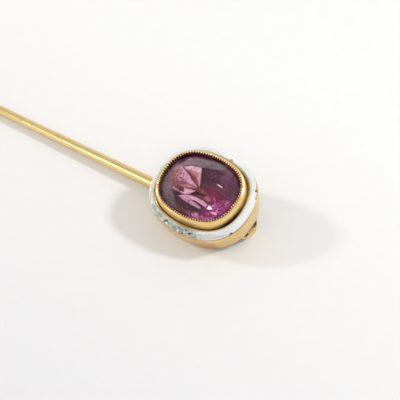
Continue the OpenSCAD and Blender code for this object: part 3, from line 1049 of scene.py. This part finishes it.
def paint_stone(obj):
    """Writes the stone's colour and its painted reflections, sparkle and shade at each point of its
    mesh.
    """
    pts = obj_points(obj)
    xy = picture(pts)
    # wavers the edges by a fraction of a pixel
    xy[:, 0] += 0.25 * ragged(pts, 3000, 5.0, 2)
    xy[:, 1] += 0.25 * ragged(pts, 3000, 25.0, 2)
    tone = np.repeat(linear(PLUM)[None], len(xy), 0)
    for rgb, soft, strength, corners in PAINTED_FACETS:
        tone = laid(tone, rgb, inside(xy, corners, soft) * strength)
    for i, (rgb, *spot) in enumerate(SPECKS_AND_SPARKLE):
        # the peaks of a noise of its own, as separate dots
        dots = np.clip((ragged(pts, 6400, 40.0 + 3 * i, 3) - 0.12) / 0.18, 0, 1)
        tone = laid(tone, rgb, spots_at(xy, [spot]) * dots)
    rgba = np.concatenate([tone, np.ones((len(tone), 1))], 1)
    layer = obj.data.attributes.new("stone_tone_and_light", "FLOAT_COLOR", "POINT")
    layer.data.foreach_set("color", rgba.astype(np.float32).reshape(-1))


def stone_material():
    """Glassy, with a fine mottling over the tones and painted light of the mesh."""
    mat, tree, shader = new_material("purple_stone")
    color = attribute(tree, "stone_tone_and_light", "Color")
    for texture, stops in (
        (noise_tex(tree, 1500, 4, 0.6), [(0.32, (0.72, 0.68, 0.72)), (0.68, (1.15, 1.1, 1.12))]),
        (noise_tex(tree, 4200, 4, 0.7), [(0.30, (0.6, 0.5, 0.6)), (0.45, (1, 1, 1)),
                                         (0.70, (1.12, 1.05, 1.1))]),
    ):
        color = mix_color(tree, 1.0, color, ramp(tree, texture, stops), "MULTIPLY")
    tree.links.new(color, shader.inputs["Base Color"])
    shader.inputs["Roughness"].default_value = 0.04
    shader.inputs["IOR"].default_value = 1.54
    shader.inputs["Specular IOR Level"].default_value = 0.3
    return mat


stone = stone_mesh()
paint_stone(stone)
stone.data.materials.append(stone_material())

# ---------------------------------------------------------------- frame
for piece in (bezel, milgrain, cup, shelf, back, stem, lug):
    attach(piece, "root")
    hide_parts("gold_setting")
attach(ring, "root")
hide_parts("enamel_border")
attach(stone, "root")
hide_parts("stone")


# ---------------------------------------------------------------- stage
FLOOR_HALF = 1.2
FLOOR_LIGHT_FALL = RIGHT * 8 + BACKWARD * 12    # rise of its painted light per metre
SENSOR = 36                               # camera's, in millimetres
AT_HEAD, AT_STEM = Vector((0.024, 0, 0.003)), Vector((0.0165, 0, 0.002))


def floor_piece():
    """Pale board, with a painted fall of light: lighter towards the picture's back and right."""
    s = FLOOR_HALF
    mesh = bpy.data.meshes.new("floor")
    mesh.from_pydata([(-s, -s, 0), (s, -s, 0), (s, s, 0), (-s, s, 0)], [], [(0, 1, 2, 3)])
    obj = link("floor", mesh)
    mat, tree, shader = new_material("pale_board")
    coords = node(tree, "ShaderNodeTexCoord").outputs["Object"]
    sweep = node(tree, "ShaderNodeVectorMath", {0: coords}, operation="DOT_PRODUCT")
    sweep.inputs[1].default_value = FLOOR_LIGHT_FALL
    tone = ramp(tree, mathn(tree, "ADD", sweep.outputs["Value"], 0.5), [
        (0.0, (0.70, 0.685, 0.695)),
        (0.4, (0.76, 0.745, 0.75)),
        (0.8, (0.80, 0.79, 0.785)),
        (1.0, (0.80, 0.79, 0.785)),
    ])
    grain = noise_tex(tree, 700, 4, 0.6)
    paper = ramp(tree, grain, [(0.3, (0.985, 0.985, 0.985)), (0.7, (1.0, 1.0, 1.0))])
    tree.links.new(mix_color(tree, 1.0, tone, paper, "MULTIPLY"), shader.inputs["Base Color"])
    shader.inputs["Roughness"].default_value = 0.75
    shader.inputs["Specular IOR Level"].default_value = 0.2
    mesh.materials.append(mat)


def look(obj, direction):
    """Points a camera or a light in a direction."""
    obj.rotation_euler = direction.to_track_quat("-Z", "Y").to_euler()


def camera():
    """Stands where the photograph was taken from."""
    data = bpy.data.cameras.new("camera")
    data.sensor_width = SENSOR
    data.lens = SENSOR * DISTANCE / VIEW
    data.clip_start, data.clip_end = 0.01, 10
    data.dof.use_dof = False
    obj = link("camera", data)
    obj.location = EYE
    look(obj, AHEAD)
    bpy.context.scene.camera = obj


def area(name, azimuth, elevation, distance, size, power, color, target=AT_HEAD):
    """Azimuth from the picture's back towards its right; aims at the target."""
    az, el = math.radians(azimuth), math.radians(elevation)
    level = BACKWARD * math.cos(az) + RIGHT * math.sin(az)
    to = level * math.cos(el) + Vector((0, 0, math.sin(el)))
    data = bpy.data.lights.new(name, "AREA")
    data.shape = "RECTANGLE"
    data.size, data.size_y = size
    data.energy = power
    data.color = color
    obj = link(name, data)
    obj.location = target + to * distance
    look(obj, -to)
    return obj


def world():
    """Studio all round, brightest a little above the horizon."""
    w = bpy.data.worlds.new("studio")
    bpy.context.scene.world = w
    w.use_nodes = True
    tree = w.node_tree
    tree.nodes.clear()
    coords = node(tree, "ShaderNodeTexCoord").outputs["Generated"]
    height = node(tree, "ShaderNodeSeparateXYZ", {"Vector": coords}).outputs["Z"]
    tone = ramp(tree, height, [
        (0.0, (0.92, 0.90, 0.88)),
        (0.4, (1.00, 0.97, 0.94)),
        (0.7, (0.90, 0.87, 0.85)),
        (0.85, (0.70, 0.67, 0.66)),
        (1.0, (0.66, 0.63, 0.62)),
    ])
    light = node(tree, "ShaderNodeBackground", {"Color": tone}, Strength=0.93)
    node(tree, "ShaderNodeOutputWorld", {"Surface": light.outputs[0]})


floor_piece()
camera()
area("key_right", 90, 46, 0.5, (0.08, 0.06), 1.0, (0.86, 0.97, 1.0))
area("fill_left", -78, 34, 0.5, (0.06, 0.05), 0.62, (0.93, 1.0, 0.98))
# Lifts the shadows, and stays out of every gloss
fill_front = area("fill_front", 175, 42, 0.5, (0.10, 0.08), 0.26, (1.0, 0.97, 0.95))
fill_front.visible_glossy = False
# Two pale cards that show in gloss alone
card_left = area("card_left", -112, 29, 0.10, (0.014, 0.036), 0.0040, (1.0, 1.0, 0.97), AT_STEM)
card_right = area("card_right", 68, 17, 0.45, (0.40, 0.26), 0.80, (1.0, 0.97, 0.93))
for card in (card_left, card_right):
    card.visible_diffuse = False
world()

settings = bpy.context.scene.view_settings
settings.view_transform = "Standard"
settings.look = "None"
settings.exposure = 0.0
